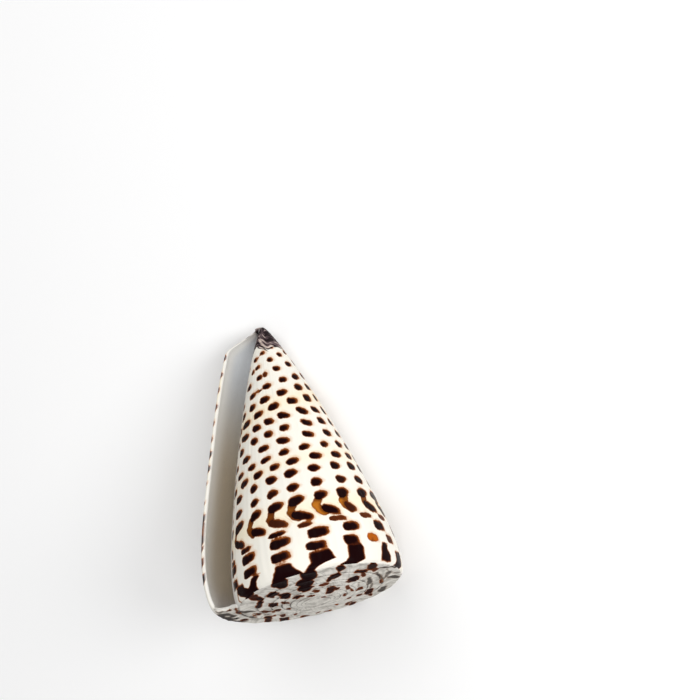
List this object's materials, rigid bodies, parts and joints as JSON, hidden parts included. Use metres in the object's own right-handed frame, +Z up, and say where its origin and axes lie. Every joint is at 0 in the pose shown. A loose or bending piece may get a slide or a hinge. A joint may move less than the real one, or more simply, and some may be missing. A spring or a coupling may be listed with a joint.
{
  "type": "cone shell",
  "caption": "Right-handed cone shell with a nearly flat spire, straight tapering sides and a long narrow aperture behind a thin lip, lying on its side.",
  "frame": {"origin": "centre of the shell's box on the floor it lies on", "axes": "+Z up from the floor; the shell's own axis lies in the YZ plane, spire towards -Y and raised about 16 degrees, narrow tip towards +Y; the lip is towards -X and stands about 30 degrees up"},
  "size_m": [0.063, 0.1008, 0.0586],
  "materials": {
    "shell_porcelain": "polished natural shell: ivory white with dark brown spots, glossy like porcelain"
  },
  "bodies": {
    "root": {"cone_shell": "shell_porcelain"}
  },
  "joints": []
}
